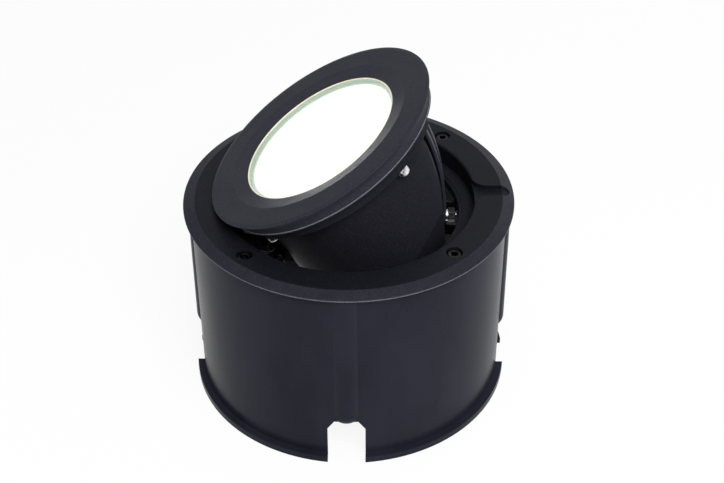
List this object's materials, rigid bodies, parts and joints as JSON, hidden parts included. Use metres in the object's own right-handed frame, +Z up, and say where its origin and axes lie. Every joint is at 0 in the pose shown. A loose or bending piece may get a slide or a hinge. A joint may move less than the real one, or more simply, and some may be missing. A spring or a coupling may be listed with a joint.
{
  "type": "in-ground light",
  "caption": "Round in-ground light: a ground sleeve, a cover ring that turns on it, and a sealed lamp head that swings up like a lid and locks on a slotted curved strut.",
  "frame": {"origin": "centre of the underside of the sleeve's foot, on the sleeve's axis", "axes": "+Z up along the sleeve's axis, -X towards the lid hinge, +X towards the lock and the tool slot, so the head faces up and towards -X"},
  "size_m": [0.2, 0.2, 0.2108],
  "materials": {
    "black_coat": "fine-textured matte powder coat",
    "sleeve_plastic": "satin moulded",
    "steel": "satin stainless",
    "dark_nut": "blackened",
    "rubber": "matte",
    "pale_silicone": "matte silicone",
    "clear_glass": "polished",
    "opal": "satin opal",
    "bright_alloy": "bright",
    "plain_alloy": "as cast",
    "board_white": "white lacquer",
    "phosphor": "matte",
    "driver_case": "matte",
    "fitting_plastic": "matte"
  },
  "bodies": {
    "sleeve": {"mounting_sleeve": "sleeve_plastic"},
    "turret": {"cover_ring": "black_coat", "cover_screws": "steel", "carrier_ring": "black_coat", "seat_gasket": "rubber", "hinge_pins": "steel", "lock_bracket": "steel", "bracket_screws": "steel", "lock_bolt": "steel", "lock_washer": "steel", "lock_nut": "dark_nut"},
    "head": {"bezel": "black_coat", "bezel_screws": "steel", "glass_lens": "clear_glass", "lens_gasket": "pale_silicone", "diffuser": "opal", "reflector": "bright_alloy", "led_board": "board_white", "led_chips": "phosphor", "lamp_carrier": "plain_alloy", "carrier_screws": "steel", "head_housing": "black_coat", "hinge_arms": "steel", "arm_screws": "steel", "tilt_strut": "black_coat", "strut_screws": "steel", "driver_module": "driver_case", "rear_gasket": "rubber", "rear_cover": "black_coat", "rear_screws": "steel", "gland_body": "fitting_plastic", "gland_locknut": "fitting_plastic", "gland_seal": "rubber", "gland_nut": "fitting_plastic", "vent_plug": "fitting_plastic"}
  },
  "joints": [
    {"name": "turn", "type": "hinge", "parent": "sleeve", "child": "turret", "pos_m": [0, 0, 0.124], "axis": [0, 0, 1], "range_deg": [-175, 175]},
    {"name": "tilt", "type": "hinge", "parent": "turret", "child": "head", "pos_m": [-0.0848, 0, 0.1188], "axis": [0, -1, 0], "range_deg": [-31, 0]}
  ]
}
